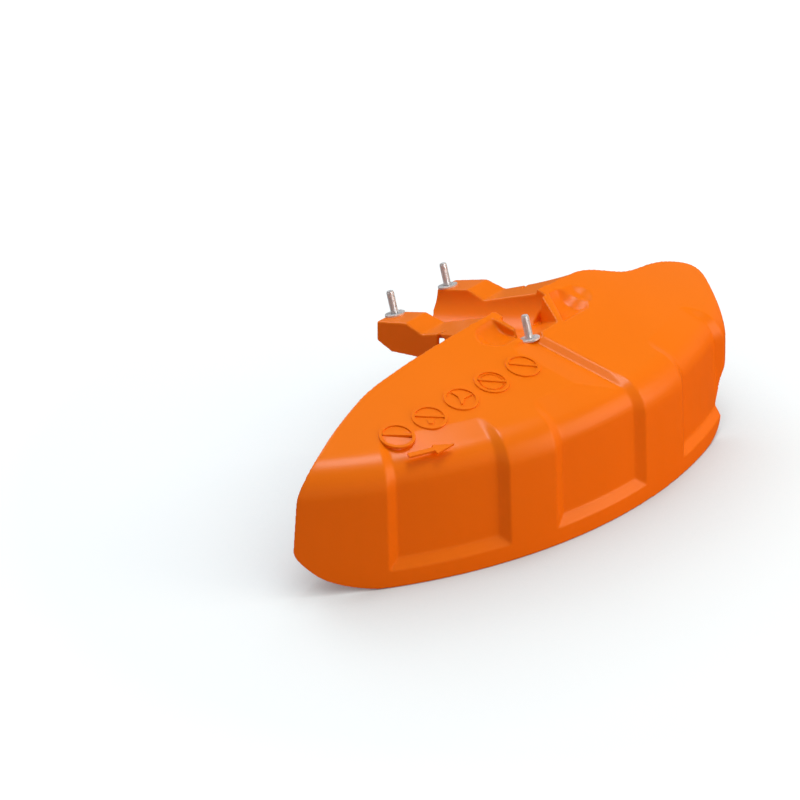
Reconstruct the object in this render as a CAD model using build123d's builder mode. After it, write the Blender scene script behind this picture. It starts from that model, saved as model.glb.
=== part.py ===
from build123d import *
from math import cos, degrees, radians, sin, tan
import os

# Blade guard of a grass trimmer: a moulded hood that covers a sector of the cutting circle,
# with two ears and a tube cradle at its inner edge and three screws standing up for the gear head.
# The frame: +Z up, the skirt's lower edge on Z = 0, the drive tube's plane parallel to YZ,
# outward (away from the cutting head) towards -Y, the origin at the middle of the footprint.
# Points written as (x, y) are measured from the spindle, with the drive tube's plane at x = 0.

# where the cutting head's spindle stands in this frame
SPINDLE_X = 42.04
SPINDLE_Y = 225.06

# hood: a drafted skirt, a rounded shoulder and a top that falls outwards
WALL = 3.0
SKIRT_R = 319.8
SKIRT_DRAFT = 4.7
SHOULDER_R = 22.0
CREST_R = 212.0
CREST_Z = 93.1
TOP_SLOPE = 0.20
HOOD_INNER_R = 190.0
LIP = 14.0
SWEEP_LEFT = 49.0
SWEEP_RIGHT = 34.0

# the hood's rear edge and its right end in plan
LEFT_EDGE = [(-236.0, -225.0), (-209.0, -224.8), (-183.0, -217.2), (-146.0, -208.1), (-104.0, -206.0)]
RIGHT_EDGE = [(88.0, -227.5), (124.0, -233.6), (139.0, -246.0), (124.0, -271.5), (100.0, -299.0), (80.0, -324.0)]
REAR_X = 57.0
REAR_Y = -211.0

# how the skirt's lower edge rises at the two ends, as (distance in from the end, height)
LEFT_END = -44.8
LEFT_RISE = [(54.0, 0.0), (32.4, 3.6), (14.5, 11.4), (4.6, 20.6), (0.0, 34.0)]
RIGHT_END = 18.5
RIGHT_RISE = [(42.0, 0.0), (27.0, 1.6), (15.6, 7.5), (11.0, 19.0), (6.0, 36.0), (0.0, 58.0)]
END_REACH = 40.0

# recessed skirt panels: angles of the left wall's edge and foot, and of the right wall's foot and edge
PANELS = [(-35.1, -34.0, -22.8, -21.7), (-16.0, -14.6, -3.7, -2.5), (4.9, 6.3, 16.3, 17.6)]
PANEL_DEPTH = 4.5
PANEL_SILL = 10.5
SILL_RISE = 5.5
PANEL_FADE = 32.8
CUT_REACH = 8.0

# step on the top from the third screw down to the middle panel's right wall
STEP_START = (-18.0, -238.0)
STEP_END = (-14.5, -306.0)
STEP_DEPTH = 3.4
STEP_RUN = 5.5
STEP_FADE = 32.0

# mount plane, ears and saddle
MOUNT_TILT = 16.0
EAR_STUD_X = 26.5
EAR_STUD_Y = -137.0
EAR_STUD_Z = 71.6
EAR_REAR_Y = -133.0
EAR_FRONT_Y = -157.0
EAR_HALF_WIDTH = 39.5
EAR_FLARE = 27.0
EAR_BOTTOM_Z = 57.5
EAR_KEEL_Y = -145.5
EAR_KEEL_Z = 53.8
EAR_JOIN_Y = -166.0
SADDLE_Y = -171.0
SADDLE_DROP = 7.0
RIDGE_Y = -215.0
RIDGE_DEPTH = 34.0

# tube cradle and the pocket past the ridge
CRADLE_R = 20.5
CRADLE_WALL = 3.0
CRADLE_END_Y = -215.5
CRADLE_RUN_ON = 1.5
POCKET_PLAN = [(-24.0, -215.5), (17.5, -215.5), (1.0, -240.0), (-15.0, -240.0), (-24.5, -228.0)]
POCKET_FLAT = 3.0
POCKET_FLOOR = 18.0

# scoops on either side of the cradle: where the trough turns into a cone, its radius and its depth
SCOOP_LEFT = (-44.0, -225.5, 15.0, 5.5)
SCOOP_RIGHT = (31.0, -231.0, 15.0, 7.0)
SCOOP_STEP = (42.0, -231.0, 17.0, 3.0)
# the ribs between the scoops and the pocket, as the plan of what lies beyond each rib
BEYOND_LEFT = [(-28.0, -200.0), (-28.0, -250.0), (-70.0, -250.0), (-70.0, -200.0)]
BEYOND_RIGHT = [(37.5, -200.0), (-1.0, -250.0), (70.0, -250.0), (70.0, -200.0)]

# third screw's seat, beside the tube
SEAT_X = -23.0
SEAT_Y = -237.0
SEAT_Z = 84.1
SEAT_R = 7.8

# screws M5 x 20 and their retaining washers
SCREW_R = 2.5
SCREW_LENGTH = 20.0
SHANK_R = 2.3
THREAD_LENGTH = 14.3
HEAD_R = 4.25
HEAD_H = 5.0
SOCKET_R = 2.0
SOCKET_DEPTH = 2.8
PAD_THICKNESS = 4.5
HOLE_CLEARANCE = 0.25
HEAD_CLEARANCE = 0.6
WASHER_CLEARANCE = 0.05
WASHER_R = 6.5
WASHER_T = 1.0

SPINDLE = Axis((SPINDLE_X, SPINDLE_Y, 0), (0, 0, 1))
TILT = radians(MOUNT_TILT)
UP = (0, sin(TILT), cos(TILT))
OUT = (0, -cos(TILT), sin(TILT))
DRAFT = tan(radians(SKIRT_DRAFT))
TALL = 2 * CREST_Z


def at_spindle(x, y, z=0.0):
    """A point given from the spindle, in the part's frame."""
    return (SPINDLE_X + x, SPINDLE_Y + y, z)


def in_plan(points):
    """A row of (x, y) points from the spindle, in the part's frame."""
    return [at_spindle(x, y)[:2] for x, y in points]


def meridian(angle):
    """The upright plane through the spindle at an angle from -Y, x outwards and y up."""
    a = radians(angle)
    return Plane(origin=at_spindle(0, 0), x_dir=(sin(a), -cos(a), 0), z_dir=(-cos(a), -sin(a), 0))


def top_z(radius):
    """Height of the hood's outer top surface."""
    return CREST_Z - TOP_SLOPE * (radius - CREST_R)


def skirt_r(z):
    """Radius of the skirt's outer surface."""
    return SKIRT_R - DRAFT * z


def knee(inset):
    """Where the skirt's line and the top's line would meet, both moved in by an inset."""
    z = (CREST_Z - inset - TOP_SLOPE * (SKIRT_R - inset - CREST_R)) / (1 - TOP_SLOPE * DRAFT)
    return (skirt_r(z) - inset, z)


def seat(x, y, z):
    """A plane on the mount's tilt, with its z along the screw."""
    return Plane(origin=at_spindle(x, y, z), x_dir=(1, 0, 0), z_dir=UP)


STUDS = [
    seat(-EAR_STUD_X, EAR_STUD_Y, EAR_STUD_Z),
    seat(EAR_STUD_X, EAR_STUD_Y, EAR_STUD_Z),
    seat(SEAT_X, SEAT_Y, SEAT_Z),
]


def hood_body(inset, foot):
    """The hood's outer form less an inset, as a solid sector about the spindle."""
    with BuildPart(mode=Mode.PRIVATE) as body:
        with BuildSketch(meridian(-SWEEP_LEFT)) as section:
            with BuildLine():
                Polyline(
                    (HOOD_INNER_R, foot),
                    (skirt_r(foot) - inset, foot),
                    knee(inset),
                    (HOOD_INNER_R, top_z(HOOD_INNER_R) - inset),
                    (HOOD_INNER_R, foot),
                )
            make_face()
            fillet(section.vertices().sort_by_distance((*knee(inset), 0))[0], max(SHOULDER_R - inset, WALL))
        revolve(axis=SPINDLE, revolution_arc=SWEEP_LEFT + SWEEP_RIGHT)
    return body.part


def under_top(inset):
    """All that lies below the hood's top surface carried on towards the spindle, less an inset."""
    with BuildPart(mode=Mode.PRIVATE) as body:
        with BuildSketch(meridian(-SWEEP_LEFT)):
            with BuildLine():
                Polyline(
                    (CREST_R / 2, 0),
                    (SKIRT_R, 0),
                    (SKIRT_R, top_z(SKIRT_R) - inset),
                    (CREST_R / 2, top_z(CREST_R / 2) - inset),
                    (CREST_R / 2, 0),
                )
            make_face()
        revolve(axis=SPINDLE, revolution_arc=SWEEP_LEFT + SWEEP_RIGHT)
    return body.part


def rear_outline(inset):
    """The hood in plan, with its rear edge moved in by an inset, as a tall block."""
    low = -SKIRT_R - CUT_REACH
    left = [(x + inset, y - inset) for x, y in LEFT_EDGE]
    right = [(x - inset, y - inset) for x, y in RIGHT_EDGE]
    with BuildPart(mode=Mode.PRIVATE) as body:
        with BuildSketch(Plane.XY.offset(-CREST_Z / 2)):
            with BuildLine():
                a = Spline(*in_plan(left), tangents=[(1, 0), (1, 0)])
                b = Line(a @ 1, at_spindle(REAR_X, REAR_Y - inset)[:2])
                c = Spline(b @ 1, *in_plan(right), tangents=[(1, 0), (-0.62, -0.78)])
                Polyline(c @ 1, at_spindle(right[-1][0], low)[:2], at_spindle(left[0][0], low)[:2], a @ 0)
            make_face()
        extrude(amount=TALL)
    return body.part


def end_cut(angle, side, rise):
    """What lifts the skirt's lower edge at one end of the hood; side is 1 for the right end."""
    a = radians(angle)
    face = Plane(
        origin=at_spindle(SKIRT_R * sin(a), -SKIRT_R * cos(a)),
        x_dir=(side * cos(a), side * sin(a), 0),
        z_dir=(side * sin(a), -side * cos(a), 0),
    )
    face = Plane(origin=face.origin, x_dir=face.x_dir, z_dir=Vector(face.x_dir).cross(Vector(0, 0, 1)))
    points = [(-s, z) for s, z in rise]
    reach = rise[0][0]
    with BuildPart(mode=Mode.PRIVATE) as body:
        with BuildSketch(face):
            with BuildLine():
                edge = Spline(*points, tangents=[(1, 0), (0, 1)])
                Polyline(edge @ 1, (END_REACH, rise[-1][1]), (END_REACH, -END_REACH), (-reach, -END_REACH), edge @ 0)
            make_face()
        extrude(amount=reach, both=True)
    return body.part


def panel_section(angle, depth, inset):
    """Upright section of what a panel takes off, its floor at a depth under the hood's surface."""
    deep = depth + inset
    rate = SILL_RISE / PANEL_DEPTH
    sill = PANEL_SILL - inset
    fade = SKIRT_R - PANEL_FADE - 2 * inset
    far = SKIRT_R + CUT_REACH
    with BuildSketch(meridian(angle), mode=Mode.PRIVATE) as section:
        with BuildLine():
            Polyline(
                (far, sill - (far - skirt_r(sill)) * rate),
                (skirt_r(sill) - deep, sill + deep * rate),
                knee(deep),
                (fade, top_z(fade) - inset + max(-depth, 0.0)),
                (fade, top_z(fade) + CUT_REACH),
                (far, top_z(fade) + CUT_REACH),
                (far, sill - (far - skirt_r(sill)) * rate),
            )
        make_face()
        fillet(section.vertices().sort_by_distance((*knee(deep), 0))[0], SHOULDER_R - deep)
    return section.sketch


def panel_wall(edge, foot, inset):
    """The sloping side of a panel, from its foot to just past its edge on the hood's surface."""
    proud = 0.6
    past = edge + (edge - foot) * proud / PANEL_DEPTH
    with BuildPart(mode=Mode.PRIVATE) as body:
        at_foot = panel_section(foot, PANEL_DEPTH, inset)
        at_edge = panel_section(past, -proud, inset)
        loft(sections=[at_foot.face(), at_edge.face()], ruled=True)
    return body.part


def panel_body(inset, panel):
    """A recessed panel between its two feet, grown inwards by an inset."""
    left_edge, left_foot, right_foot, right_edge = panel
    margin = degrees(0.3 * inset / SKIRT_R)
    with BuildPart(mode=Mode.PRIVATE) as body:
        floor = panel_section(left_foot - margin, PANEL_DEPTH, inset)
        revolve(floor, axis=SPINDLE, revolution_arc=right_foot - left_foot + 2 * margin)
        add(panel_wall(left_edge - margin, left_foot - margin, inset))
        add(panel_wall(right_edge + margin, right_foot + margin, inset))
    return body.part


def scoop_body(scoop, beyond, inset):
    """A trough that runs out as a cone at one end and is stopped by the rib beside the pocket."""
    x, y, radius, depth = scoop
    slope = depth / (radius ** 2 - (radius - depth) ** 2) ** 0.5
    tip = 0.3 * radius
    lie = Plane(origin=at_spindle(x, y, top_z(-y) + radius - depth), x_dir=(0, 1, 0), z_dir=(1, 0, 0))
    with BuildPart(mode=Mode.PRIVATE) as body:
        with BuildSketch(lie):
            Circle(radius + inset)
        extrude(amount=-x)
        with Locations(Plane(origin=lie.origin, x_dir=(0, 1, 0), z_dir=(x, 0, 0))):
            Cone(radius + inset, tip + inset, (radius - tip) / slope, align=(Align.CENTER, Align.CENTER, Align.MIN))
        with BuildSketch(Plane.XY):
            Polygon(*in_plan(beyond), align=None)
            if inset:
                offset(amount=inset, kind=Kind.INTERSECTION)
        extrude(amount=2 * TALL, mode=Mode.INTERSECT)
    return body.part


def along_tube(y):
    """The point of the drive tube's axis over a distance from the spindle."""
    return at_spindle(0, y, EAR_STUD_Z + (EAR_STUD_Y - y) * tan(TILT))


def tube_body(radius, end_y):
    """A rod along the drive tube, from behind the ears to an upright end at a distance from the spindle."""
    start = along_tube(EAR_REAR_Y + 2 * CRADLE_R)
    length = (Vector(*along_tube(end_y)) - Vector(*start)).length
    with BuildPart(mode=Mode.PRIVATE) as body:
        with BuildSketch(Plane(origin=start, x_dir=(1, 0, 0), z_dir=OUT)):
            Circle(radius)
        extrude(amount=length + radius)
        with BuildSketch(Plane(origin=at_spindle(0, 0), x_dir=(0, -1, 0), z_dir=(-1, 0, 0))):
            Polygon((0, 0), (-end_y, 0), (-end_y, TALL), (0, TALL), align=None)
        extrude(amount=2 * radius, both=True, mode=Mode.INTERSECT)
    return body.part


def pocket_body(inset):
    """The upright-sided pocket past the cradle, narrowing outwards, its floor rising to the top."""
    back = -POCKET_PLAN[0][1]
    end = -POCKET_PLAN[2][1]
    low = top_z(-RIDGE_Y) - POCKET_FLOOR - inset
    with BuildPart(mode=Mode.PRIVATE) as body:
        with BuildSketch(Plane.XY):
            Polygon(*in_plan(POCKET_PLAN), align=None)
            if inset:
                offset(amount=inset, kind=Kind.INTERSECTION)
        extrude(amount=TALL)
        with BuildSketch(Plane(origin=at_spindle(0, 0), x_dir=(0, -1, 0), z_dir=(-1, 0, 0))):
            Polygon(
                (back - inset, low),
                (back + POCKET_FLAT, low),
                (end + inset, top_z(end) - inset),
                (end + inset, TALL),
                (back - inset, TALL),
                align=None,
            )
        extrude(amount=TALL, both=True, mode=Mode.INTERSECT)
    return body.part


def step_body(inset):
    """The step that runs from the third screw over the top into the middle panel's right wall."""
    depth = STEP_DEPTH + inset
    head = Vector(*at_spindle(*STEP_START, top_z(-STEP_START[1])))
    tail = Vector(*at_spindle(*STEP_END, top_z(-STEP_END[1])))
    fall = (tail - head).normalized()
    side = Vector(1, 0, 0)
    side = (side - fall * side.dot(fall)).normalized()
    across = Plane(origin=head, x_dir=side, z_dir=fall)
    up = 1 if across.y_dir.Z > 0 else -1
    proud = CUT_REACH / 2
    lean = STEP_RUN / STEP_DEPTH
    with BuildPart(mode=Mode.PRIVATE) as body:
        with BuildSketch(across):
            Polygon(
                (lean * proud, up * proud),
                (-lean * depth + inset, -up * depth),
                (-STEP_FADE - inset, -up * inset),
                (-STEP_FADE - inset, up * proud),
                align=None,
            )
        extrude(amount=(tail - head).length)
    return body.part


def ear_profile(inset):
    """The mount seen from the side, as a closed row of points, y turned to point outwards."""
    run = tan(TILT)
    roof = PAD_THICKNESS if inset else 0.0
    rear_z = EAR_STUD_Z + (EAR_STUD_Y - EAR_REAR_Y) * run - roof
    front_z = EAR_STUD_Z + (EAR_STUD_Y - EAR_FRONT_Y) * run - roof
    saddle_z = EAR_STUD_Z + (EAR_STUD_Y - SADDLE_Y) * run - SADDLE_DROP - inset
    front = -RIDGE_Y + 3 * WALL
    open_z = EAR_KEEL_Z / 2 if inset else 0.0
    return [
        (-EAR_REAR_Y + inset, rear_z),
        (-EAR_FRONT_Y - inset * 0.4, front_z),
        (-SADDLE_Y - inset * 0.4, saddle_z),
        (-RIDGE_Y, top_z(-RIDGE_Y) - inset),
        (front, top_z(-RIDGE_Y) - inset),
        (front, CREST_Z - RIDGE_DEPTH - open_z),
        (-EAR_JOIN_Y, EAR_BOTTOM_Z - open_z),
        (-EAR_KEEL_Y, EAR_KEEL_Z - open_z),
        (-EAR_REAR_Y + inset, EAR_BOTTOM_Z - open_z),
    ]


def ear_block(inset):
    """Ears and saddle: the side view drawn across the mount, trimmed to the plan of the ears."""
    wide = EAR_HALF_WIDTH + EAR_FLARE - inset
    with BuildPart(mode=Mode.PRIVATE) as body:
        with BuildSketch(Plane(origin=at_spindle(0, 0), x_dir=(0, -1, 0), z_dir=(-1, 0, 0))):
            Polygon(*ear_profile(inset), align=None)
        extrude(amount=wide * 2, both=True)
        with BuildSketch(Plane.XY):
            with BuildLine():
                rear = Line(at_spindle(0, EAR_REAR_Y)[:2], at_spindle(EAR_HALF_WIDTH - inset, EAR_REAR_Y)[:2])
                flank = Spline(
                    rear @ 1,
                    at_spindle(EAR_HALF_WIDTH + WALL - inset, SADDLE_Y + WALL)[:2],
                    at_spindle(wide, RIDGE_Y + inset)[:2],
                    tangents=[(0.1, -1.0), (1.0, -0.45)],
                )
                Polyline(flank @ 1, at_spindle(wide, RIDGE_Y - 3 * WALL)[:2], at_spindle(0, RIDGE_Y - 3 * WALL)[:2], rear @ 0)
            make_face()
            mirror(about=Plane(origin=at_spindle(0, 0), z_dir=(1, 0, 0)))
        extrude(amount=TALL, mode=Mode.INTERSECT)
        add(under_top(inset), mode=Mode.INTERSECT)
    return body.part


def cradle_pipe():
    """The half pipe that carries the drive tube, up to the ears and the saddle."""
    upper = ear_profile(0.0)[:4]
    with BuildPart(mode=Mode.PRIVATE) as body:
        add(tube_body(CRADLE_R + CRADLE_WALL, CRADLE_END_Y))
        with BuildSketch(Plane(origin=at_spindle(0, 0), x_dir=(0, -1, 0), z_dir=(-1, 0, 0))):
            Polygon(
                *upper,
                (-RIDGE_Y, EAR_KEEL_Z - CRADLE_R),
                (-EAR_KEEL_Y - WALL, EAR_KEEL_Z - CRADLE_R / 2),
                (-EAR_REAR_Y, EAR_BOTTOM_Z),
                align=None,
            )
        extrude(amount=EAR_HALF_WIDTH, both=True, mode=Mode.INTERSECT)
    return body.part


def seat_cut(inset):
    """The flat round seat of the third screw and the free space above it."""
    with BuildPart(mode=Mode.PRIVATE) as body:
        with BuildSketch(STUDS[2].offset(-inset)):
            Circle(SEAT_R + inset * 0.6)
        extrude(amount=SCREW_LENGTH + inset)
    return body.part


def upper_cuts(inset):
    """What is taken off the upper side, each cut grown by an inset."""
    cuts = [panel_body(inset, panel) for panel in PANELS]
    cuts.append(scoop_body(SCOOP_LEFT, BEYOND_LEFT, inset))
    cuts.append(scoop_body(SCOOP_RIGHT, BEYOND_RIGHT, inset))
    cuts.append(scoop_body(SCOOP_STEP, BEYOND_RIGHT, inset))
    cuts.append(step_body(inset))
    cuts.append(tube_body(CRADLE_R + inset, CRADLE_END_Y - CRADLE_RUN_ON - inset))
    cuts.append(pocket_body(inset))
    cuts.append(seat_cut(inset))
    return cuts


def outer_form():
    """The moulding as a solid, with all that is cut into its upper side."""
    with BuildPart(mode=Mode.PRIVATE) as body:
        add(hood_body(0.0, 0.0))
        add(rear_outline(0.0), mode=Mode.INTERSECT)
        add(ear_block(0.0))
        add(cradle_pipe())
        for cut in upper_cuts(0.0):
            add(cut, mode=Mode.SUBTRACT)
        add(end_cut(LEFT_END, -1, LEFT_RISE), mode=Mode.SUBTRACT)
        add(end_cut(RIGHT_END, 1, RIGHT_RISE), mode=Mode.SUBTRACT)
    return body.part


def inner_form():
    """The open space under the moulding: hood and ears less one wall."""
    with BuildPart(mode=Mode.PRIVATE) as body:
        add(hood_body(WALL, -WALL))
        add(rear_outline(WALL), mode=Mode.INTERSECT)
        add(hood_body(WALL + LIP, -WALL))
        add(ear_block(WALL))
        for cut in upper_cuts(WALL):
            add(cut, mode=Mode.SUBTRACT)
        add(seat_cut(PAD_THICKNESS), mode=Mode.SUBTRACT)
    return body.part


with BuildPart() as guard_shell:
    add(outer_form())
    add(inner_form(), mode=Mode.SUBTRACT)
    # holes for the screws, square to the mount plane, and room for their heads below
    for stud in STUDS:
        with BuildSketch(stud.offset(-2 * PAD_THICKNESS)):
            Circle(SCREW_R + HOLE_CLEARANCE)
        extrude(amount=3 * PAD_THICKNESS, mode=Mode.SUBTRACT)
        with BuildSketch(stud.offset(-PAD_THICKNESS)):
            Circle(HEAD_R + HEAD_CLEARANCE)
        extrude(amount=-3 * HEAD_H, mode=Mode.SUBTRACT)


def screw_body(plane):
    """The screw: its head under the pad, a reduced shank through it, the threaded end above."""
    base = plane.offset(-PAD_THICKNESS)
    with BuildPart(mode=Mode.PRIVATE) as body:
        with BuildSketch(base):
            Circle(SHANK_R)
        extrude(amount=SCREW_LENGTH - THREAD_LENGTH)
        with BuildSketch(base.offset(SCREW_LENGTH - THREAD_LENGTH)):
            Circle(SCREW_R)
        extrude(amount=THREAD_LENGTH)
        with BuildSketch(base):
            Circle(HEAD_R)
        extrude(amount=-HEAD_H)
        with BuildSketch(base.offset(-HEAD_H)):
            RegularPolygon(SOCKET_R, 6)
        extrude(amount=SOCKET_DEPTH, mode=Mode.SUBTRACT)
    return body.part


def washer_body(plane):
    """A retaining washer lying on the pad round the screw."""
    with BuildPart(mode=Mode.PRIVATE) as body:
        with BuildSketch(plane):
            Circle(WASHER_R)
            Circle(SCREW_R + WASHER_CLEARANCE, mode=Mode.SUBTRACT)
        extrude(amount=WASHER_T)
    return body.part


with BuildPart() as screw_left:
    add(screw_body(STUDS[0]))
with BuildPart() as screw_right:
    add(screw_body(STUDS[1]))
with BuildPart() as screw_front:
    add(screw_body(STUDS[2]))
with BuildPart() as washer_left:
    add(washer_body(STUDS[0]))
with BuildPart() as washer_right:
    add(washer_body(STUDS[1]))
with BuildPart() as washer_front:
    add(washer_body(STUDS[2]))

guard_shell.part.label = "guard_shell"
screw_left.part.label = "screw_left"
screw_right.part.label = "screw_right"
screw_front.part.label = "screw_front"
washer_left.part.label = "washer_left"
washer_right.part.label = "washer_right"
washer_front.part.label = "washer_front"

os.makedirs("parts", exist_ok=True)
export_step(guard_shell.part, "parts/guard_shell.step")
export_step(screw_left.part, "parts/screw_left.step")
export_step(screw_right.part, "parts/screw_right.step")
export_step(screw_front.part, "parts/screw_front.step")
export_step(washer_left.part, "parts/washer_left.step")
export_step(washer_right.part, "parts/washer_right.step")
export_step(washer_front.part, "parts/washer_front.step")
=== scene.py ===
"""Dresses the trimmer blade guard: moulded plastic, threaded screws, raised marks, and a studio."""

import math

import bmesh
import bpy
from mathutils import Matrix, Vector


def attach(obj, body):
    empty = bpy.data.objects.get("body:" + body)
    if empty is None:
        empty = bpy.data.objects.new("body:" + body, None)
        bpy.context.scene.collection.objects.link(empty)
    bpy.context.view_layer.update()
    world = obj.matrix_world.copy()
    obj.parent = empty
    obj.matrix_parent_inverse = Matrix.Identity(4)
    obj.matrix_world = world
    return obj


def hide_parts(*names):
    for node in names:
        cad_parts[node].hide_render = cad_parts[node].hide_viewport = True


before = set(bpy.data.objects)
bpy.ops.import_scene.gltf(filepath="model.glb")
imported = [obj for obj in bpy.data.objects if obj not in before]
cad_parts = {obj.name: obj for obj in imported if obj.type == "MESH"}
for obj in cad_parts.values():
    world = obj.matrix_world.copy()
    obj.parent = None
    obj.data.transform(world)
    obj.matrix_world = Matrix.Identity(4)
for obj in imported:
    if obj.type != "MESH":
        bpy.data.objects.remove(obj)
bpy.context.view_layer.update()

bl_info = {
    "name": "Trimmer blade guard",
    "version": (1, 0, 0),
    "blender": (4, 5, 0),
    "location": "3D View > Sidebar > Guard",
    "description": "Finishes a moulded blade guard and sets up a studio for it",
    "category": "Object",
}

MM = 0.001

# the spindle that the hood turns about, and the hood's top as a cone round it, in millimetres
SPINDLE = (42.04, 225.06)
CREST_R = 212.0
CREST_Z = 93.1
TOP_SLOPE = 0.20

# the mount's tilt and where each screw meets the moulding, in millimetres
TILT = math.radians(16.0)
SCREWS = {
    "left": (SPINDLE[0] - 26.5, SPINDLE[1] - 137.0, 71.6),
    "right": (SPINDLE[0] + 26.5, SPINDLE[1] - 137.0, 71.6),
    "front": (SPINDLE[0] - 23.0, SPINDLE[1] - 237.0, 84.1),
}
# heights along a screw from its seat, and the turned form of its shank, head and socket, in metres
SHANK_TOP = 0.0012
SCREW_TIP = 0.0155
TIP_CHAMFER = 0.0004
SCREW_BODY = [
    (0.0, -0.0062), (0.0018, -0.0066), (0.0020, -0.0092), (0.0021, -0.0095), (0.0037, -0.0095), (0.0041, -0.0093),
    (0.00425, -0.0089), (0.00425, -0.0048), (0.0041, -0.0045), (0.0023, -0.0045), (0.0023, SHANK_TOP), (0.0, SHANK_TOP),
]
TURNED_STEPS = 40
THREAD_STEPS = (33, 145)
# a washer's edge stays this far inside the CAD's; its two small holes by distance and radius, in metres
WASHER_EASE = 0.00015
WASHER_EYE = (0.0046, 0.00055)
SHARP_FROM = math.radians(40)

# plain marks on the hood, in plan from the spindle, in millimetres
RINGS = [(-155.3, -243.4), (-130.2, -246.3), (-104.2, -248.4), (-78.8, -250.9), (-52.7, -253.7)]
BARRED = (0, 1, 3, 4)
BAR_ALONG = (0.667, -0.745)
BAR_WIDTH = 2.0
BLADE_HUB = (-102.9, -247.9)
BLADE_TURN = 99.0
BLADE_TIP = (6.6, 0.5)
BLADE_ROOT = (1.4, 1.5)
TEETH_REACH = (6.5, 7.2)
TEETH_BAND = 0.35
TAB = [(-132.8, -246.6), (-135.0, -249.4), (-133.2, -251.2), (-129.8, -249.7)]
ARROW = [
    (-164.7, -259.7), (-150.8, -266.5), (-151.6, -268.9), (-138.8, -270.4), (-148.5, -262.4), (-149.4, -263.9),
    (-163.2, -257.0),
]
RING_STEPS = 72
# how far a mark reaches down into the hood, in metres
MARK_SINK = 0.0005

# the camera fitted to the photograph, and the point that the lamps aim at
CAMERA_PLACE = (-0.93378, -0.68652, 0.66224)
CAMERA_TURN = math.radians(-50.93)
CAMERA_TILT = math.radians(27.97)
LAMP_AIM = (0.0, 0.0, 0.03)


# settings


class MouldingSettings(bpy.types.PropertyGroup):
    """Colour and finish of the moulded plastic."""

    colour: bpy.props.FloatVectorProperty(
        name="Colour",
        description="Base colour of the moulding",
        subtype="COLOR",
        size=4,
        min=0.0,
        max=1.0,
        default=(0.94, 0.205, 0.0006, 1.0),
    )
    voxel: bpy.props.FloatProperty(
        name="Mesh step",
        description="Size of the mesh steps that the moulding is rebuilt with",
        subtype="DISTANCE",
        unit="LENGTH",
        default=0.00055,
        min=0.0005,
    )
    passes: bpy.props.IntProperty(
        name="Softness",
        description="How often the moulding's edges are eased, which rounds them",
        default=16,
        min=0,
    )
    share: bpy.props.FloatProperty(
        name="Share kept",
        description="Share of the rebuilt mesh's triangles that is kept",
        subtype="FACTOR",
        default=0.165,
        min=0.1,
        max=1.0,
    )
    roughness: bpy.props.FloatProperty(
        name="Roughness",
        description="How broad the highlights on the moulding are",
        subtype="FACTOR",
        min=0.0,
        max=1.0,
        default=0.3,
    )
    grain: bpy.props.FloatProperty(
        name="Grain size",
        description="Size of the fine grain left by the mould",
        subtype="DISTANCE",
        unit="LENGTH",
        default=0.0009,
        min=0.0001,
    )


class ScrewSettings(bpy.types.PropertyGroup):
    """Sizes of the mounting screws."""

    radius: bpy.props.FloatProperty(
        name="Thread radius",
        description="Outer radius of the thread",
        subtype="DISTANCE",
        unit="LENGTH",
        default=0.0025,
    )
    depth: bpy.props.FloatProperty(
        name="Thread depth",
        description="From crest to root of the thread",
        subtype="DISTANCE",
        unit="LENGTH",
        default=0.00043,
    )
    pitch: bpy.props.FloatProperty(
        name="Pitch",
        description="Distance from one turn of the thread to the next",
        subtype="DISTANCE",
        unit="LENGTH",
        default=0.0008,
    )
    length: bpy.props.FloatProperty(
        name="Thread length",
        description="Length of the threaded end",
        subtype="DISTANCE",
        unit="LENGTH",
        default=0.0143,
    )


class WasherSettings(bpy.types.PropertyGroup):
    """Sizes of the thin retaining washers."""

    radius: bpy.props.FloatProperty(
        name="Washer radius",
        description="Outer radius of a washer",
        subtype="DISTANCE",
        unit="LENGTH",
        default=0.0065,
    )
    hole: bpy.props.FloatProperty(
        name="Bore radius",
        description="Radius of the bore that holds the screw",
        subtype="DISTANCE",
        unit="LENGTH",
        default=0.00256,
    )
    thickness: bpy.props.FloatProperty(
        name="Washer thickness",
        description="Thickness of a washer",
        subtype="DISTANCE",
        unit="LENGTH",
        default=0.001,
    )


class MarkSettings(bpy.types.PropertyGroup):
    """Sizes of the plain raised marks on the hood."""

    ring_radius: bpy.props.FloatProperty(
        name="Ring radius",
        description="Radius of a ring mark at the middle of its band",
        subtype="DISTANCE",
        unit="LENGTH",
        default=0.0093,
    )
    band: bpy.props.FloatProperty(
        name="Band",
        description="Width of a raised line",
        subtype="DISTANCE",
        unit="LENGTH",
        default=0.0021,
    )
    height: bpy.props.FloatProperty(
        name="Height",
        description="How far a mark stands up from the hood",
        subtype="DISTANCE",
        unit="LENGTH",
        default=0.0008,
    )


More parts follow.
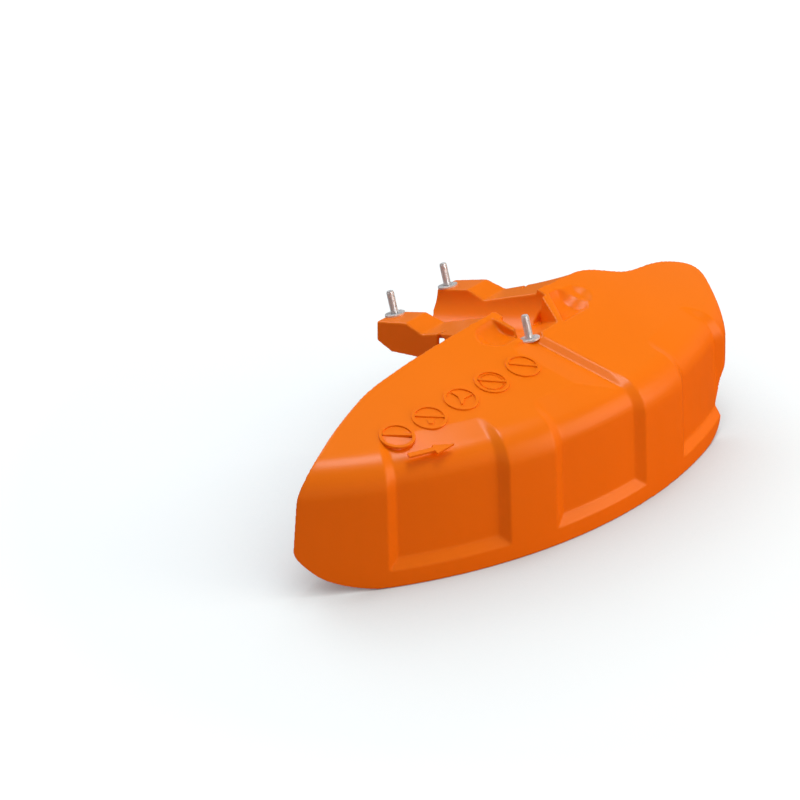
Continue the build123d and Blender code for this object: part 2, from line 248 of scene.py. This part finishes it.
class StageSettings(bpy.types.PropertyGroup):
    """Studio floor, light and camera."""

    floor: bpy.props.FloatVectorProperty(
        name="Floor",
        description="Colour of the floor",
        subtype="COLOR",
        size=4,
        min=0.0,
        max=1.0,
        default=(0.72, 0.38, 0.28, 1.0),
    )
    shade: bpy.props.FloatProperty(
        name="Floor shade",
        description="How much of the lamps' light the camera sees on the floor",
        subtype="FACTOR",
        default=0.4,
        min=0.0,
        max=1.0,
    )
    lift: bpy.props.FloatProperty(
        name="Floor white",
        description="Plain white that the camera sees on the floor",
        default=0.6,
        min=0.0,
    )
    key: bpy.props.FloatProperty(
        name="Key light",
        description="Power of the lamp above",
        unit="POWER",
        default=7.2,
        min=0.0,
    )
    fill: bpy.props.FloatProperty(
        name="Side light",
        description="Power of the lamp on the right",
        unit="POWER",
        default=8.5,
        min=0.0,
    )
    back: bpy.props.FloatProperty(
        name="Back light",
        description="Power of the lamp behind on the left",
        unit="POWER",
        default=6.5,
        min=0.0,
    )
    ambient: bpy.props.FloatProperty(
        name="Ambient",
        description="Strength of the even light from all round",
        default=0.41,
        min=0.0,
    )
    backdrop: bpy.props.FloatProperty(
        name="Backdrop",
        description="Strength of the pale backdrop in reflections",
        default=0.25,
        min=0.0,
    )
    lens: bpy.props.FloatProperty(
        name="Lens",
        description="Focal length of the camera in millimetres",
        default=98.76,
        min=10.0,
    )


# helpers


def settings(context, name):
    return getattr(context.scene, name)


def new_object(name, mesh):
    obj = bpy.data.objects.new(name, mesh)
    bpy.context.scene.collection.objects.link(obj)
    return obj


def node(tree, kind, at=(0, 0), **values):
    made = tree.nodes.new(kind)
    made.location = at
    for key, value in values.items():
        setattr(made, key, value)
    return made


def new_material(name):
    """A material with nothing in it but its output, with its tree and that output."""
    mat = bpy.data.materials.new(name)
    mat.use_nodes = True
    mat.node_tree.nodes.clear()
    return mat, mat.node_tree, node(mat.node_tree, "ShaderNodeOutputMaterial", (600, 0))


def smooth_object(name, bm, mat):
    """An object made from a bmesh, which it uses up: one material, smooth but for its sharp edges."""
    bmesh.ops.recalc_face_normals(bm, faces=bm.faces)
    mesh = bpy.data.meshes.new(name)
    bm.to_mesh(mesh)
    bm.free()
    mesh.materials.append(mat)
    mesh.set_sharp_from_angle(angle=SHARP_FROM)
    for poly in mesh.polygons:
        poly.material_index = 0
        poly.use_smooth = True
    return new_object(name, mesh)


def hood_height(x, y):
    """Height of the hood's top surface over a point, all in millimetres."""
    r = math.hypot(x - SPINDLE[0], y - SPINDLE[1])
    return CREST_Z - TOP_SLOPE * (r - CREST_R)


def hood_frame(x, y):
    """A matrix that stands on the hood's top at a point, z square to the surface, y away from the skirt."""
    out = Vector((x - SPINDLE[0], y - SPINDLE[1], 0.0)).normalized()
    normal = Vector((out.x * TOP_SLOPE, out.y * TOP_SLOPE, 1.0)).normalized()
    across = Vector((1.0, 0.0, 0.0))
    across = (across - normal * across.dot(normal)).normalized()
    up = normal.cross(across)
    m = Matrix((across, up, normal)).transposed().to_4x4()
    m.translation = Vector((x, y, hood_height(x, y))) * MM
    return m


def screw_frame(place):
    """A matrix at a screw's seat, z along the screw."""
    up = Vector((0.0, math.sin(TILT), math.cos(TILT)))
    across = Vector((1.0, 0.0, 0.0))
    m = Matrix((across, up.cross(across), up)).transposed().to_4x4()
    m.translation = Vector(place) * MM
    return m


# shader groups


def mould_grain_group():
    """Fine grain and slow waves shared by every moulded surface."""
    tree = bpy.data.node_groups.new("Mould grain", "ShaderNodeTree")
    face = tree.interface
    face.new_socket("Grain scale", in_out="INPUT", socket_type="NodeSocketFloat").default_value = 900.0
    face.new_socket("Wave scale", in_out="INPUT", socket_type="NodeSocketFloat").default_value = 22.0
    face.new_socket("Height", in_out="OUTPUT", socket_type="NodeSocketFloat")
    face.new_socket("Mottle", in_out="OUTPUT", socket_type="NodeSocketFloat")
    start = node(tree, "NodeGroupInput", (-800, 0))
    end = node(tree, "NodeGroupOutput", (500, 0))
    coords = node(tree, "ShaderNodeTexCoord", (-800, -220))
    fine = node(tree, "ShaderNodeTexNoise", (-500, 120))
    fine.inputs["Detail"].default_value = 3.0
    slow = node(tree, "ShaderNodeTexNoise", (-500, -160))
    slow.inputs["Detail"].default_value = 2.0
    half = node(tree, "ShaderNodeMath", (-200, 100), operation="MULTIPLY")
    half.inputs[1].default_value = 0.35
    total = node(tree, "ShaderNodeMath", (0, 60), operation="ADD")
    link = tree.links.new
    link(coords.outputs["Object"], fine.inputs["Vector"])
    link(coords.outputs["Object"], slow.inputs["Vector"])
    link(start.outputs["Grain scale"], fine.inputs["Scale"])
    link(start.outputs["Wave scale"], slow.inputs["Scale"])
    link(fine.outputs["Fac"], half.inputs[0])
    link(half.outputs[0], total.inputs[0])
    link(slow.outputs["Fac"], total.inputs[1])
    link(total.outputs[0], end.inputs["Height"])
    link(slow.outputs["Fac"], end.inputs["Mottle"])
    return tree


# materials


def moulded_plastic(look):
    """Glossy injection moulded plastic, with a faint grain and a slow unevenness in its gloss."""
    mat, tree, out = new_material("moulded_plastic")
    link = tree.links.new
    skin = node(tree, "ShaderNodeBsdfPrincipled", (250, 0))
    link(skin.outputs["BSDF"], out.inputs["Surface"])
    grain = node(tree, "ShaderNodeGroup", (-700, 0))
    grain.node_tree = mould_grain_group()
    grain.inputs["Grain scale"].default_value = 1.0 / look.grain
    grain.inputs["Wave scale"].default_value = 16.0
    tint = node(tree, "ShaderNodeMix", (-350, 200), data_type="RGBA")
    r, g, b, _ = look.colour
    tint.inputs["A"].default_value = (r * 0.97, g * 0.96, b, 1.0)
    tint.inputs["B"].default_value = (min(r * 1.03, 1.0), g * 1.04, b, 1.0)
    link(grain.outputs["Mottle"], tint.inputs["Factor"])
    link(tint.outputs["Result"], skin.inputs["Base Color"])
    gloss = node(tree, "ShaderNodeMapRange", (-350, -80))
    gloss.inputs["To Min"].default_value = look.roughness - 0.03
    gloss.inputs["To Max"].default_value = look.roughness + 0.04
    link(grain.outputs["Mottle"], gloss.inputs["Value"])
    link(gloss.outputs["Result"], skin.inputs["Roughness"])
    bump = node(tree, "ShaderNodeBump", (-50, -250))
    bump.inputs["Strength"].default_value = 0.12
    bump.inputs["Distance"].default_value = 0.0002
    link(grain.outputs["Height"], bump.inputs["Height"])
    link(bump.outputs["Normal"], skin.inputs["Normal"])
    skin.inputs["IOR"].default_value = 1.46
    skin.inputs["Specular IOR Level"].default_value = 0.3
    return mat


def plated_steel():
    """Zinc plated steel with a fine speckle in its tone and gloss."""
    mat, tree, out = new_material("plated_steel")
    link = tree.links.new
    skin = node(tree, "ShaderNodeBsdfPrincipled", (250, 0))
    link(skin.outputs["BSDF"], out.inputs["Surface"])
    coords = node(tree, "ShaderNodeTexCoord", (-900, 0))
    specks = node(tree, "ShaderNodeTexNoise", (-600, 0))
    specks.inputs["Scale"].default_value = 700.0
    specks.inputs["Detail"].default_value = 4.0
    link(coords.outputs["Object"], specks.inputs["Vector"])
    tone = node(tree, "ShaderNodeMix", (-250, 180), data_type="RGBA")
    tone.inputs["A"].default_value = (0.7, 0.74, 0.78, 1.0)
    tone.inputs["B"].default_value = (0.92, 0.95, 0.98, 1.0)
    link(specks.outputs["Fac"], tone.inputs["Factor"])
    link(tone.outputs["Result"], skin.inputs["Base Color"])
    rough = node(tree, "ShaderNodeMapRange", (-250, -60))
    rough.inputs["To Min"].default_value = 0.2
    rough.inputs["To Max"].default_value = 0.42
    link(specks.outputs["Fac"], rough.inputs["Value"])
    link(rough.outputs["Result"], skin.inputs["Roughness"])
    bump = node(tree, "ShaderNodeBump", (-50, -250))
    bump.inputs["Strength"].default_value = 0.15
    bump.inputs["Distance"].default_value = 0.00005
    link(specks.outputs["Fac"], bump.inputs["Height"])
    link(bump.outputs["Normal"], skin.inputs["Normal"])
    skin.inputs["Metallic"].default_value = 0.45
    return mat


def studio_floor(look):
    """Pale floor that reads white to the camera and keeps the object's soft shadow, partly cast by the lamps and partly
    painted shadow near the object.
    """
    mat, tree, out = new_material("studio_floor")
    link = tree.links.new
    path = node(tree, "ShaderNodeLightPath", (-500, 250))
    # what the camera sees: some of the lamps' light, made neutral, over a white that grows with distance
    seen = node(tree, "ShaderNodeBsdfDiffuse", (-200, 0))
    seen.inputs["Color"].default_value = (look.shade, look.shade * 1.17, look.shade * 1.25, 1.0)
    glow = node(tree, "ShaderNodeEmission", (-200, -150))
    coords = node(tree, "ShaderNodeTexCoord", (-800, -250))
    away = node(tree, "ShaderNodeVectorMath", (-600, -250), operation="LENGTH")
    fade = node(tree, "ShaderNodeMapRange", (-400, -250))
    fade.inputs["From Min"].default_value = 0.28
    fade.inputs["From Max"].default_value = 0.7
    fade.inputs["To Min"].default_value = look.lift
    fade.inputs["To Max"].default_value = 1.05
    link(coords.outputs["Object"], away.inputs[0])
    link(away.outputs["Value"], fade.inputs["Value"])
    # painted shadow: the floor's white glow is dimmed by ambient occlusion close to the object, a soft contact shadow
    # all round it
    near = node(tree, "ShaderNodeAmbientOcclusion", (-600, -450))
    near.inputs["Distance"].default_value = 0.16
    # how deep the painted shadow gets, from the occlusion
    painted_shadow_depth = node(tree, "ShaderNodeMapRange", (-400, -450))
    painted_shadow_depth.inputs["From Min"].default_value = 0.3
    painted_shadow_depth.inputs["To Min"].default_value = 0.1
    glow_under_painted_shadow = node(tree, "ShaderNodeMath", (-300, -350), operation="MULTIPLY")
    link(near.outputs["AO"], painted_shadow_depth.inputs["Value"])
    link(fade.outputs["Result"], glow_under_painted_shadow.inputs[0])
    link(painted_shadow_depth.outputs["Result"], glow_under_painted_shadow.inputs[1])
    link(glow_under_painted_shadow.outputs["Value"], glow.inputs["Strength"])
    both = node(tree, "ShaderNodeAddShader", (50, -60))
    link(seen.outputs["BSDF"], both.inputs[0])
    link(glow.outputs["Emission"], both.inputs[1])
    # what lights the object from below, and a darker floor in its reflections
    lit = node(tree, "ShaderNodeBsdfDiffuse", (-200, 150))
    tone = node(tree, "ShaderNodeMix", (-380, 150), data_type="RGBA")
    tone.inputs["A"].default_value = look.floor
    tone.inputs["B"].default_value = (0.04, 0.04, 0.04, 1.0)
    link(path.outputs["Is Glossy Ray"], tone.inputs["Factor"])
    link(tone.outputs["Result"], lit.inputs["Color"])
    pick = node(tree, "ShaderNodeMixShader", (350, 0))
    link(path.outputs["Is Camera Ray"], pick.inputs["Fac"])
    link(lit.outputs["BSDF"], pick.inputs[1])
    link(both.outputs["Shader"], pick.inputs[2])
    link(pick.outputs["Shader"], out.inputs["Surface"])
    return mat


# geometry node trees


def thread_tree():
    """A threaded rod: a grid rolled round z, its radius following the thread's turns."""
    tree = bpy.data.node_groups.new("Thread", "GeometryNodeTree")
    face = tree.interface
    face.new_socket("Geometry", in_out="INPUT", socket_type="NodeSocketGeometry")
    sizes = (("Radius", 0.0025), ("Depth", 0.00043), ("Pitch", 0.0008), ("Length", 0.0143), ("Start", 0.0))
    for label, value in sizes:
        face.new_socket(label, in_out="INPUT", socket_type="NodeSocketFloat").default_value = value
    face.new_socket("Seed", in_out="INPUT", socket_type="NodeSocketInt").default_value = 7
    face.new_socket("Material", in_out="INPUT", socket_type="NodeSocketMaterial")
    face.new_socket("Geometry", in_out="OUTPUT", socket_type="NodeSocketGeometry")
    link = tree.links.new
    start = node(tree, "NodeGroupInput", (-1600, 0))
    end = node(tree, "NodeGroupOutput", (1400, 0))
    grid = node(tree, "GeometryNodeMeshGrid", (-1200, 300))
    grid.inputs["Size X"].default_value = 1.0
    grid.inputs["Size Y"].default_value = 1.0
    grid.inputs["Vertices X"].default_value = THREAD_STEPS[0]
    grid.inputs["Vertices Y"].default_value = THREAD_STEPS[1]
    where = node(tree, "GeometryNodeInputPosition", (-1200, 0))
    split = node(tree, "ShaderNodeSeparateXYZ", (-1000, 0))
    link(where.outputs["Position"], split.inputs["Vector"])

    def maths(kind, a, b, at):
        m = node(tree, "ShaderNodeMath", at, operation=kind)
        for i, value in enumerate((a, b)):
            if value is None:
                continue
            if isinstance(value, (int, float)):
                m.inputs[i].default_value = value
            else:
                link(value, m.inputs[i])
        return m.outputs[0]

    turn = maths("MULTIPLY", split.outputs["X"], 2.0 * math.pi, (-800, 100))
    along = maths("ADD", split.outputs["Y"], 0.5, (-800, -100))
    rise = maths("MULTIPLY", along, start.outputs["Length"], (-600, -100))
    turns = maths("DIVIDE", rise, start.outputs["Pitch"], (-400, -100))
    phase = maths("SUBTRACT", turns, maths("ADD", split.outputs["X"], 0.5, (-800, -300)), (-200, -100))
    wave = maths("PINGPONG", phase, 0.5, (0, -100))
    ridge = maths("MULTIPLY", wave, 2.0, (100, -100))
    # the last turn runs out into a cone
    left = maths("SUBTRACT", start.outputs["Length"], rise, (-300, -500))
    lead = maths("MINIMUM", maths("DIVIDE", left, start.outputs["Pitch"], (-150, -500)), 1.0, (0, -500))
    kept = maths("MULTIPLY", ridge, lead, (200, -300))
    worked = maths("MULTIPLY", maths("SUBTRACT", 1.0, kept, (300, -300)), start.outputs["Depth"], (400, -300))
    radius = maths("SUBTRACT", start.outputs["Radius"], worked, (550, -200))
    x = maths("MULTIPLY", maths("COSINE", turn, None, (500, 200)), radius, (700, 200))
    y = maths("MULTIPLY", maths("SINE", turn, None, (500, 50)), radius, (700, 50))
    z = maths("ADD", rise, start.outputs["Start"], (700, -50))
    join = node(tree, "ShaderNodeCombineXYZ", (850, 100))
    link(x, join.inputs["X"])
    link(y, join.inputs["Y"])
    link(z, join.inputs["Z"])
    move = node(tree, "GeometryNodeSetPosition", (950, 300))
    link(grid.outputs["Mesh"], move.inputs["Geometry"])
    link(join.outputs["Vector"], move.inputs["Position"])
    merge = node(tree, "GeometryNodeMergeByDistance", (1050, 300))
    merge.inputs["Distance"].default_value = 0.000002
    link(move.outputs["Geometry"], merge.inputs["Geometry"])
    real = node(tree, "GeometryNodeRealizeInstances", (1150, 300))
    link(merge.outputs["Geometry"], real.inputs["Geometry"])
    paint = node(tree, "GeometryNodeSetMaterial", (1250, 300))
    link(real.outputs["Geometry"], paint.inputs["Geometry"])
    link(start.outputs["Material"], paint.inputs["Material"])
    link(paint.outputs["Geometry"], end.inputs["Geometry"])
    return tree


def run_tree(name, tree, values):
    """The mesh that a node tree makes from an empty mesh and its named inputs."""
    holder = new_object(name + "_maker", bpy.data.meshes.new(name + "_maker"))
    mod = holder.modifiers.new("tree", "NODES")
    mod.node_group = tree
    for item in tree.interface.items_tree:
        if item.item_type == "SOCKET" and item.in_out == "INPUT" and item.name in values:
            mod[item.identifier] = values[item.name]
    graph = bpy.context.evaluated_depsgraph_get()
    mesh = bpy.data.meshes.new_from_object(holder.evaluated_get(graph))
    holder.modifiers.remove(mod)
    bpy.data.objects.remove(holder)
    mesh.name = name
    if not mesh.polygons:
        raise RuntimeError("the node tree made nothing for " + name)
    return mesh


# pieces


def lathe(bm, profile, steps, matrix):
    """Turns a profile of (radius, height) round z and adds it to a bmesh. It starts and ends on the axis."""
    turns = [(math.cos(2 * math.pi * i / steps), math.sin(2 * math.pi * i / steps)) for i in range(steps)]
    rings = []
    for r, z in profile:
        if r < 1e-9:
            rings.append([bm.verts.new(matrix @ Vector((0, 0, z)))])
        else:
            rings.append([bm.verts.new(matrix @ Vector((r * x, r * y, z))) for x, y in turns])
    for low, high in zip(rings, rings[1:]):
        for i in range(steps):
            j = (i + 1) % steps
            if len(low) == 1:
                bm.faces.new((low[0], high[j], high[i]))
            elif len(high) == 1:
                bm.faces.new((low[i], low[j], high[0]))
            else:
                bm.faces.new((low[i], low[j], high[j], high[i]))


def raise_band(bm, outline, closed, band, height, place):
    """A raised line with a bevelled top along points in plan; place puts a point and a height on the hood."""
    n = len(outline)
    rows = []
    for i, p in enumerate(outline):
        before = outline[i - 1] if (closed or i > 0) else p
        after = outline[(i + 1) % n] if (closed or i < n - 1) else p
        along = (Vector(after) - Vector(before)).normalized()
        side = Vector((-along.y, along.x))
        a = Vector(p)
        w = band / 2
        rows.append([
            bm.verts.new(place(a + side * w, -MARK_SINK)),
            bm.verts.new(place(a + side * w * 0.93, height * 0.8)),
            bm.verts.new(place(a + side * w * 0.82, height)),
            bm.verts.new(place(a - side * w * 0.82, height)),
            bm.verts.new(place(a - side * w * 0.93, height * 0.8)),
            bm.verts.new(place(a - side * w, -MARK_SINK)),
        ])
    last = n if closed else n - 1
    for i in range(last):
        a, b = rows[i], rows[(i + 1) % n]
        for k in range(5):
            bm.faces.new((a[k], a[k + 1], b[k + 1], b[k]))
        bm.faces.new((a[5], a[0], b[0], b[5]))
    if not closed:
        bm.faces.new(rows[0])
        bm.faces.new(list(reversed(rows[-1])))


def raise_plate(bm, outline, height, place):
    """A raised flat patch with upright sides round an outline in plan."""
    n = len(outline)
    foot = [bm.verts.new(place(Vector(p), -MARK_SINK)) for p in outline]
    top = [bm.verts.new(place(Vector(p), height)) for p in outline]
    for i in range(n):
        j = (i + 1) % n
        bm.faces.new((foot[i], foot[j], top[j], top[i]))
    bm.faces.new(top)
    bm.faces.new(list(reversed(foot)))


def soft_copy(source, name, step, passes, share):
    """A closed mesh made from a solid's own mesh, rebuilt in even steps with its edges eased."""
    mesh = source.data.copy()
    mesh.transform(source.matrix_world)
    bm = bmesh.new()
    bm.from_mesh(mesh)
    bmesh.ops.remove_doubles(bm, verts=bm.verts, dist=0.00001)
    bmesh.ops.recalc_face_normals(bm, faces=bm.faces)
    bm.to_mesh(mesh)
    bm.free()
    maker = new_object(name + "_maker", mesh)
    rebuild = maker.modifiers.new("rebuild", "REMESH")
    rebuild.mode = "VOXEL"
    rebuild.voxel_size = step
    ease = maker.modifiers.new("ease", "SMOOTH")
    ease.factor = 0.5
    ease.iterations = passes
    thin = maker.modifiers.new("thin", "DECIMATE")
    thin.ratio = share
    graph = bpy.context.evaluated_depsgraph_get()
    soft = bpy.data.meshes.new_from_object(maker.evaluated_get(graph))
    bpy.data.objects.remove(maker)
    if len(soft.polygons) < 1000:
        raise RuntimeError("the moulding was not rebuilt")
    low = [min(v.co[k] for v in mesh.vertices) for k in range(3)]
    high = [max(v.co[k] for v in mesh.vertices) for k in range(3)]
    for v in soft.vertices:
        v.co = [min(max(v.co[k], low[k]), high[k]) for k in range(3)]
    bpy.data.meshes.remove(mesh)
    soft.name = name
    return soft


class GUARD_OT_dress_moulding(bpy.types.Operator):
    """Rebuild the moulded guard with soft edges and give it its plastic"""

    bl_idname = "guard.dress_moulding"
    bl_label = "Dress moulding"

    def execute(self, context):
        look = settings(context, "guard_moulding")
        mat = moulded_plastic(look)
        soft = soft_copy(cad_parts["guard_shell"], "moulding", look.voxel, look.passes, look.share)
        soft.materials.clear()
        soft.materials.append(mat)
        for poly in soft.polygons:
            poly.use_smooth = True
            poly.material_index = 0
        moulding = new_object("moulding", soft)
        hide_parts("guard_shell")
        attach(moulding, "root")
        return {"FINISHED"}


class GUARD_OT_make_washers(bpy.types.Operator):
    """Make the thin retaining washers with their two small holes"""

    bl_idname = "guard.make_washers"
    bl_label = "Make washers"

    def execute(self, context):
        size = settings(context, "guard_washer")
        mat = plated_steel()
        out, eye = WASHER_EYE
        # each outline by its middle along x, its radius and its number of steps
        loops = [(0.0, size.radius - WASHER_EASE, 56), (0.0, size.hole, 36), (out, eye, 14), (-out, eye, 14)]
        for side, place in SCREWS.items():
            bm = bmesh.new()
            for middle, r, n in loops:
                turns = [2 * math.pi * i / n for i in range(n)]
                ring = [bm.verts.new((middle + r * math.cos(a), r * math.sin(a), 0.0)) for a in turns]
                for i in range(n):
                    bm.edges.new((ring[i], ring[(i + 1) % n]))
            bmesh.ops.triangle_fill(bm, use_beauty=True, use_dissolve=False, edges=bm.edges, normal=(0, 0, 1))
            if not bm.faces:
                raise RuntimeError("a washer's face was not filled")
            made = bmesh.ops.extrude_face_region(bm, geom=bm.faces[:])
            for v in made["geom"]:
                if isinstance(v, bmesh.types.BMVert):
                    v.co.z += size.thickness
            bmesh.ops.transform(bm, matrix=screw_frame(place), verts=bm.verts)
            washer = smooth_object("retaining_washer_" + side, bm, mat)
            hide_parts("washer_" + side)
            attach(washer, "root")
        return {"FINISHED"}


class GUARD_OT_make_screws(bpy.types.Operator):
    """Make each mounting screw with its thread, shank, head and socket"""

    bl_idname = "guard.make_screws"
    bl_label = "Make screws"

    def execute(self, context):
        size = settings(context, "guard_screw")
        steel = bpy.data.materials["plated_steel"]
        tree = thread_tree()
        for side, place in SCREWS.items():
            at = screw_frame(place)
            # the thread starts inside the shank and ends where the core's chamfer begins
            thread = run_tree(
                "screw_thread_" + side,
                tree,
                {
                    "Radius": size.radius,
                    "Depth": size.depth,
                    "Pitch": size.pitch,
                    "Length": size.length - 0.0003,
                    "Start": 0.0011,
                    "Material": steel,
                },
            )
            bm = bmesh.new()
            bm.from_mesh(thread)
            bmesh.ops.holes_fill(bm, edges=[edge for edge in bm.edges if edge.is_boundary], sides=0)
            bmesh.ops.transform(bm, matrix=at, verts=bm.verts)
            # the core with its chamfered end, a hair wider than the thread's root
            root = size.radius - size.depth
            core = root + 0.00002
            foot = SHANK_TOP - 0.0002
            shoulder = SCREW_TIP - TIP_CHAMFER
            end = [(0.0, foot), (core, foot), (core, shoulder), (root - 0.0003, SCREW_TIP), (0.0, SCREW_TIP)]
            lathe(bm, end, TURNED_STEPS, at)
            lathe(bm, SCREW_BODY, TURNED_STEPS, at)
            screw = smooth_object("mount_screw_" + side, bm, steel)
            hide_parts("screw_" + side)
            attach(screw, "root")
        return {"FINISHED"}


class GUARD_OT_raise_marks(bpy.types.Operator):
    """Raise the plain rings and the turning arrow on the hood"""

    bl_idname = "guard.raise_marks"
    bl_label = "Raise marks"

    def execute(self, context):
        size = settings(context, "guard_marks")
        bm = bmesh.new()

        def on_hood(p, lift):
            x, y = SPINDLE[0] + p.x, SPINDLE[1] + p.y
            return hood_frame(x, y) @ Vector((0, 0, lift))

        def circle(centre, r, n):
            turns = [2 * math.pi * i / n for i in range(n)]
            return [(centre[0] + r * math.cos(a), centre[1] + r * math.sin(a)) for a in turns]

        r = size.ring_radius / MM
        band = size.band / MM
        inside = r - band / 2
        for centre in RINGS:
            raise_band(bm, circle(centre, r, RING_STEPS), True, band, size.height, on_hood)
        along = Vector(BAR_ALONG).normalized()
        above = Vector((-along.y, along.x))
        for k in BARRED:
            mid = Vector(RINGS[k]) + above * BAR_WIDTH / 2
            ends = [mid - along * (inside - 0.1), mid + along * (inside - 0.1)]
            raise_band(bm, ends, False, BAR_WIDTH, size.height, on_hood)
        hub = Vector(BLADE_HUB)
        blade = []
        for k in range(3):
            a = math.radians(BLADE_TURN + 120 * k)
            out = Vector((math.cos(a), math.sin(a)))
            side = Vector((-out.y, out.x))
            tip = hub + out * BLADE_TIP[0]
            blade += [tip - side * BLADE_TIP[1], tip + side * BLADE_TIP[1]]
            blade.append(hub + out * BLADE_ROOT[0] + side * BLADE_ROOT[1])
        raise_plate(bm, blade, size.height, on_hood)
        raise_plate(bm, TAB, size.height * 0.6, on_hood)
        saw = Vector(RINGS[3])
        teeth = [saw + (Vector(p) - saw) * TEETH_REACH[i % 2] for i, p in enumerate(circle(saw, 1.0, RING_STEPS))]
        raise_band(bm, teeth, True, TEETH_BAND, size.height * 0.45, on_hood)
        raise_plate(bm, ARROW, size.height, on_hood)
        bmesh.ops.recalc_face_normals(bm, faces=bm.faces)
        mesh = bpy.data.meshes.new("hood_marks")
        bm.to_mesh(mesh)
        bm.free()
        mesh.materials.append(bpy.data.materials["moulded_plastic"])
        marks = new_object("hood_marks", mesh)
        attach(marks, "root")
        return {"FINISHED"}


class GUARD_OT_set_stage(bpy.types.Operator):
    """Set up the floor, the lamps, the world and the camera"""

    bl_idname = "guard.set_stage"
    bl_label = "Set stage"

    def execute(self, context):
        look = settings(context, "guard_stage")
        scene = context.scene
        scene.view_settings.view_transform = "Standard"
        bm = bmesh.new()
        bmesh.ops.create_grid(bm, x_segments=1, y_segments=1, size=6.0)
        mesh = bpy.data.meshes.new("studio_floor")
        bm.to_mesh(mesh)
        bm.free()
        mesh.materials.append(studio_floor(look))
        floor = new_object("studio_floor", mesh)

        world = bpy.data.worlds.new("studio")
        scene.world = world
        world.use_nodes = True
        tree = world.node_tree
        tree.nodes.clear()
        link = tree.links.new
        out = node(tree, "ShaderNodeOutputWorld", (600, 0))
        soft = node(tree, "ShaderNodeBackground", (0, 0))
        soft.inputs["Color"].default_value = (1.0, 0.94, 0.9, 1.0)
        white = node(tree, "ShaderNodeBackground", (0, -200))
        white.inputs["Color"].default_value = (1.0, 1.0, 1.0, 1.0)
        white.inputs["Strength"].default_value = 1.0
        path = node(tree, "ShaderNodeLightPath", (-400, 200))
        pick = node(tree, "ShaderNodeMixShader", (300, 0))
        # reflections see a pale backdrop low down and a dark ceiling round the lamps
        coords = node(tree, "ShaderNodeTexCoord", (-800, 0))
        height = node(tree, "ShaderNodeSeparateXYZ", (-600, 0))
        band = node(tree, "ShaderNodeMapRange", (-400, 0), interpolation_type="SMOOTHSTEP")
        band.inputs["From Min"].default_value = 0.35
        band.inputs["From Max"].default_value = 0.62
        band.inputs["To Min"].default_value = look.backdrop
        band.inputs["To Max"].default_value = 0.01
        link(coords.outputs["Generated"], height.inputs["Vector"])
        link(height.outputs["Z"], band.inputs["Value"])
        dim = node(tree, "ShaderNodeMix", (-200, 120))
        dim.inputs["A"].default_value = look.ambient
        link(band.outputs["Result"], dim.inputs["B"])
        link(path.outputs["Is Glossy Ray"], dim.inputs["Factor"])
        link(dim.outputs["Result"], soft.inputs["Strength"])
        link(path.outputs["Is Camera Ray"], pick.inputs["Fac"])
        link(soft.outputs["Background"], pick.inputs[1])
        link(white.outputs["Background"], pick.inputs[2])
        link(pick.outputs["Shader"], out.inputs["Surface"])

        def lamp(name, size, power, place, colour=(1.0, 1.0, 1.0)):
            data = bpy.data.lights.new(name, "AREA")
            data.color = colour
            data.shape = "RECTANGLE"
            data.size = data.size_y = size
            data.energy = power
            obj = bpy.data.objects.new(name, data)
            scene.collection.objects.link(obj)
            turn = (Vector(LAMP_AIM) - place).to_track_quat("-Z", "Y")
            obj.matrix_world = Matrix.LocRotScale(place, turn, None)

        # camera's right and forward on the floor, for placing lamps as the photographer would
        right = Vector((math.cos(CAMERA_TURN), math.sin(CAMERA_TURN), 0.0))
        away = Vector((-math.sin(CAMERA_TURN), math.cos(CAMERA_TURN), 0.0))
        up = Vector((0.0, 0.0, 1.0))
        lamp("top_soft", 0.5, look.key, up * 1.35 + right * 0.15 + away * 0.1)
        lamp("back_soft", 0.9, look.back, away * 1.0 - right * 0.8 + up * 1.0)
        lamp("right_soft", 0.9, look.fill, right * 1.35 - away * 0.2 + up * 0.5, (1.0, 0.66, 0.42))

        cam = bpy.data.cameras.new("photo_camera")
        cam.lens = look.lens
        cam.sensor_width = 36.0
        cam.clip_start = 0.05
        obj = bpy.data.objects.new("photo_camera", cam)
        scene.collection.objects.link(obj)
        back = up * math.sin(CAMERA_TILT) - away * math.cos(CAMERA_TILT)
        obj.matrix_world = Matrix((right, back.cross(right), back)).transposed().to_4x4()
        obj.matrix_world.translation = Vector(CAMERA_PLACE)
        scene.camera = obj
        return {"FINISHED"}


class GUARD_PT_panel(bpy.types.Panel):
    """The guard's steps in the 3D view's sidebar"""

    bl_idname = "GUARD_PT_panel"
    bl_label = "Blade guard"
    bl_space_type = "VIEW_3D"
    bl_region_type = "UI"
    bl_category = "Guard"

    def draw(self, context):
        for step in STEPS:
            self.layout.operator(step)
        for group in GROUPS:
            data = getattr(context.scene, group)
            for key in data.bl_rna.properties.keys():
                if key not in ("rna_type", "name"):
                    self.layout.prop(data, key)


STEPS = (
    "guard.dress_moulding",
    "guard.make_washers",
    "guard.make_screws",
    "guard.raise_marks",
    "guard.set_stage",
)
GROUPS = {
    "guard_moulding": MouldingSettings,
    "guard_screw": ScrewSettings,
    "guard_washer": WasherSettings,
    "guard_marks": MarkSettings,
    "guard_stage": StageSettings,
}
CLASSES = (
    MouldingSettings,
    ScrewSettings,
    WasherSettings,
    MarkSettings,
    StageSettings,
    GUARD_OT_dress_moulding,
    GUARD_OT_make_washers,
    GUARD_OT_make_screws,
    GUARD_OT_raise_marks,
    GUARD_OT_set_stage,
    GUARD_PT_panel,
)


def register():
    for cls in CLASSES:
        bpy.utils.register_class(cls)
    for name, group in GROUPS.items():
        setattr(bpy.types.Scene, name, bpy.props.PointerProperty(type=group))


def unregister():
    for name in GROUPS:
        delattr(bpy.types.Scene, name)
    for cls in reversed(CLASSES):
        bpy.utils.unregister_class(cls)


def main():
    register()
    bpy.ops.guard.dress_moulding()
    bpy.ops.guard.make_washers()
    bpy.ops.guard.make_screws()
    bpy.ops.guard.raise_marks()
    bpy.ops.guard.set_stage()


if __name__ == "__main__":
    main()
